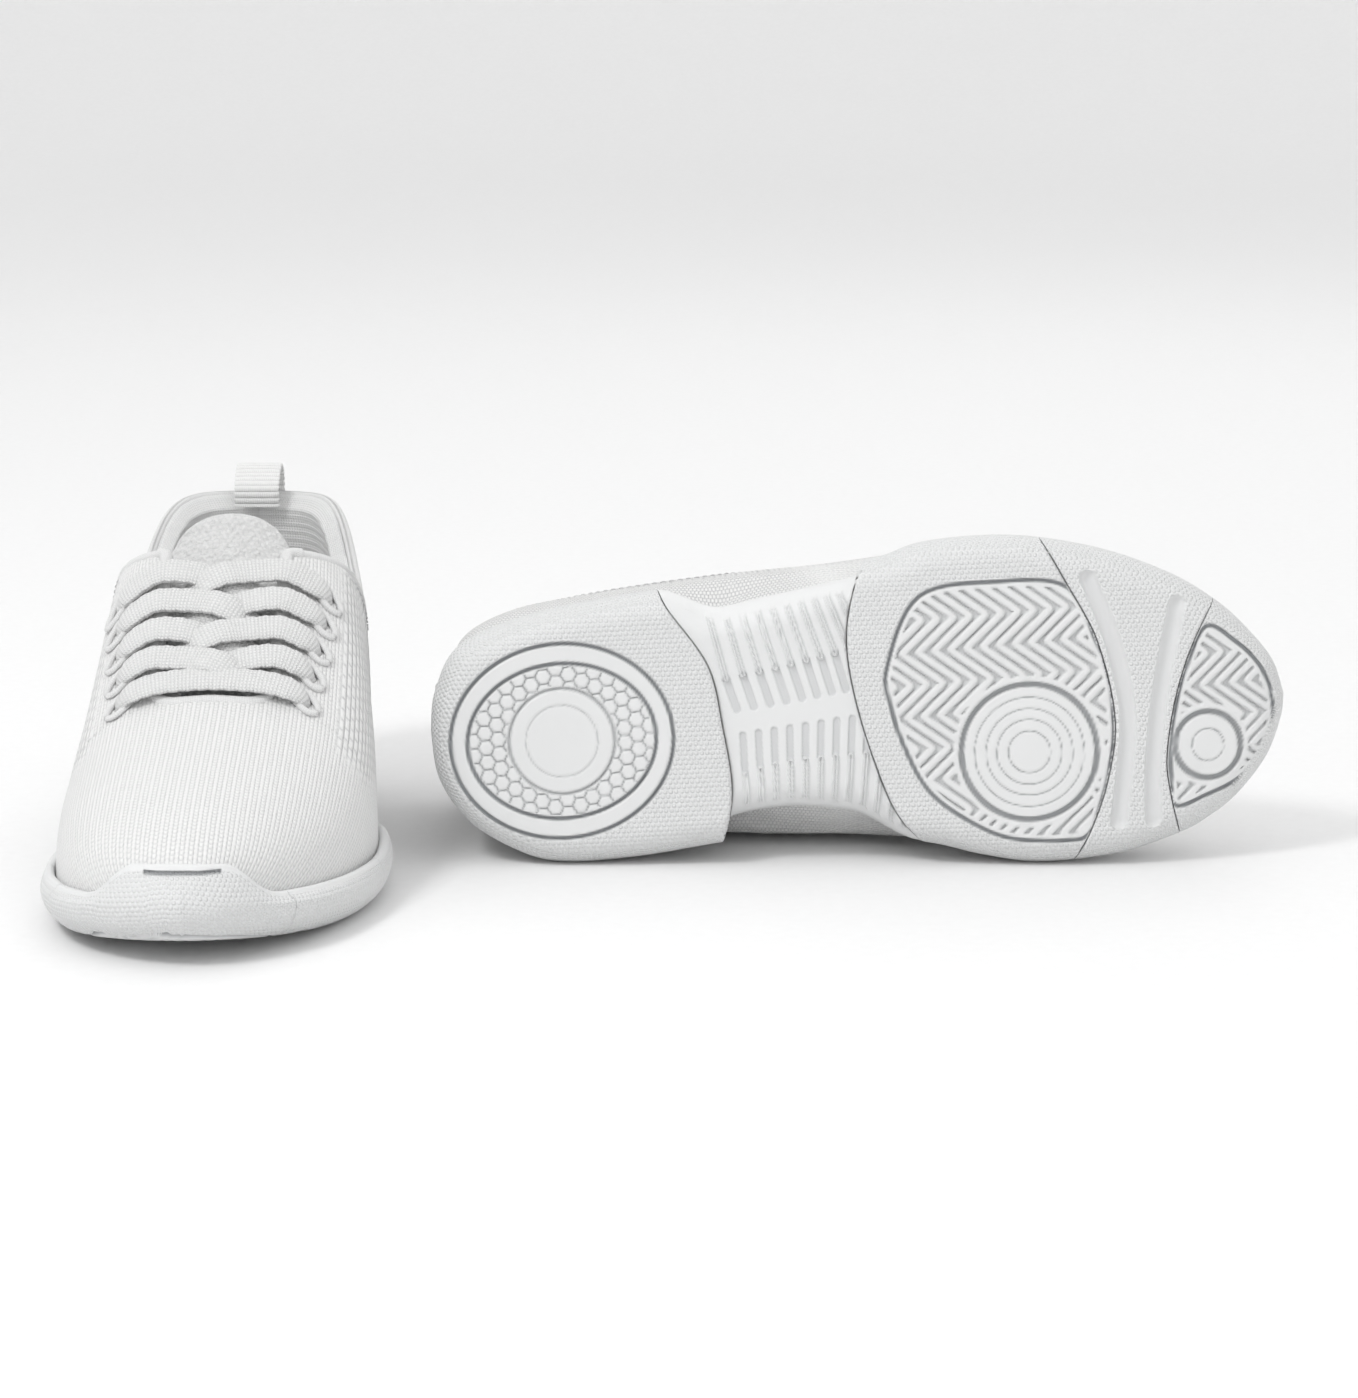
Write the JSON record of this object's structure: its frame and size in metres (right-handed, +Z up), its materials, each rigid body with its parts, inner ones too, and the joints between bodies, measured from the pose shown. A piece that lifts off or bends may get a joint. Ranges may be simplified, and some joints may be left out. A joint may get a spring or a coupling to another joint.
{
  "type": "cheer shoe pair",
  "caption": "Pair of low white knit cheer shoes, one standing and one on its side, with moulded pod soles, flat laces, padded collars and heel pull loops.",
  "frame": {"origin": "bottom centre of the pair's bounding box, on the floor", "axes": "+Z up; the left shoe stands with its toe toward -Y; the right shoe lies on its medial side with its toe toward +X and its sole facing -Y"},
  "size_m": [0.3262, 0.2326, 0.0928],
  "materials": {
    "sole_rubber": "matt white moulded rubber with a fine raised-dot grain",
    "shank_rubber": "satin white moulded rubber with raised ribs",
    "foam": "matt white foam",
    "board": "off-white bonded fibre board",
    "sockliner_cloth": "white brushed cloth over foam",
    "quarter_knit": "white knit, coarse basket stitch above and fine ribs below",
    "vamp_knit": "white fine ribbed knit",
    "counter_board": "stiff off-white fibre sheet",
    "ribbed_lining": "white ribbed padded lining",
    "piping": "white rolled and stitched edge",
    "binding": "smooth white rolled edge",
    "eyestay_knit": "white dense knit",
    "tongue_mesh": "white open mesh over foam",
    "tongue_knit": "white bouclé knit",
    "webbing": "white grosgrain webbing",
    "lace_cord": "soft white flat knitted lace"
  },
  "bodies": {
    "left_shoe": {"left_outsole_heel_pod": "sole_rubber", "left_outsole_arch_shank": "shank_rubber", "left_outsole_forefoot_pod": "sole_rubber", "left_outsole_flex_band": "sole_rubber", "left_midsole_foam": "foam", "left_lasting_board": "board", "left_sockliner": "sockliner_cloth", "left_upper_quarters": "quarter_knit", "left_upper_flex_panel": "vamp_knit", "left_heel_counter": "counter_board", "left_collar_lining": "ribbed_lining", "left_collar_piping": "piping", "left_throat_binding": "binding", "left_eyestay_lateral": "eyestay_knit", "left_eyestay_medial": "eyestay_knit", "left_tongue": "tongue_mesh", "left_heel_strip": "webbing", "left_pull_loop": "webbing", "left_lace": "lace_cord"},
    "left_toe": {"left_outsole_toe_pod": "sole_rubber", "left_midsole_foam_toe": "foam", "left_lasting_board_toe": "board", "left_sockliner_toe": "sockliner_cloth", "left_upper_toe_box": "vamp_knit"},
    "left_tongue_end": {"left_tongue_tip": "tongue_knit"},
    "right_shoe": {"right_outsole_heel_pod": "sole_rubber", "right_outsole_arch_shank": "shank_rubber", "right_outsole_forefoot_pod": "sole_rubber", "right_outsole_flex_band": "sole_rubber", "right_midsole_foam": "foam", "right_lasting_board": "board", "right_sockliner": "sockliner_cloth", "right_upper_quarters": "quarter_knit", "right_upper_flex_panel": "vamp_knit", "right_heel_counter": "counter_board", "right_collar_lining": "ribbed_lining", "right_collar_piping": "piping", "right_throat_binding": "binding", "right_eyestay_lateral": "eyestay_knit", "right_eyestay_medial": "eyestay_knit", "right_tongue": "tongue_mesh", "right_heel_strip": "webbing", "right_pull_loop": "webbing", "right_lace": "lace_cord"},
    "right_toe": {"right_outsole_toe_pod": "sole_rubber", "right_midsole_foam_toe": "foam", "right_lasting_board_toe": "board", "right_sockliner_toe": "sockliner_cloth", "right_upper_toe_box": "vamp_knit"},
    "right_tongue_end": {"right_tongue_tip": "tongue_knit"}
  },
  "joints": [
    {"name": "left_toe_flex", "type": "hinge", "parent": "left_shoe", "child": "left_toe", "pos_m": [-0.1212, -0.0753, 0.008], "axis": [-1, 0, 0], "range_deg": [0, 30], "stiffness_Nm_per_rad": 1.6, "deforming": ["left_outsole_flex_band", "left_upper_flex_panel"]},
    {"name": "left_tongue_fold", "type": "hinge", "parent": "left_shoe", "child": "left_tongue_end", "pos_m": [-0.1212, 0.0115, 0.0755], "axis": [1, 0, 0], "range_deg": [0, 50], "stiffness_Nm_per_rad": 0.05},
    {"name": "right_toe_flex", "type": "hinge", "parent": "right_shoe", "child": "right_toe", "pos_m": [0.12213, 0.00282, 0.04316], "axis": [-0.0427, 0.1114, 0.9929], "range_deg": [0, 30], "stiffness_Nm_per_rad": 1.6, "deforming": ["right_outsole_flex_band", "right_upper_flex_panel"]},
    {"name": "right_tongue_fold", "type": "hinge", "parent": "right_shoe", "child": "right_tongue_end", "pos_m": [0.03541, 0.06949, 0.03194], "axis": [0.0427, -0.1114, -0.9929], "range_deg": [0, 50], "stiffness_Nm_per_rad": 0.05},
    {"name": "right_shoe_set_upright", "type": "hinge", "parent": "left_shoe", "child": "right_shoe", "pos_m": [0.0333, 0, 0.009], "axis": [1, 0, 0], "range_deg": [0, 96.4]}
  ]
}
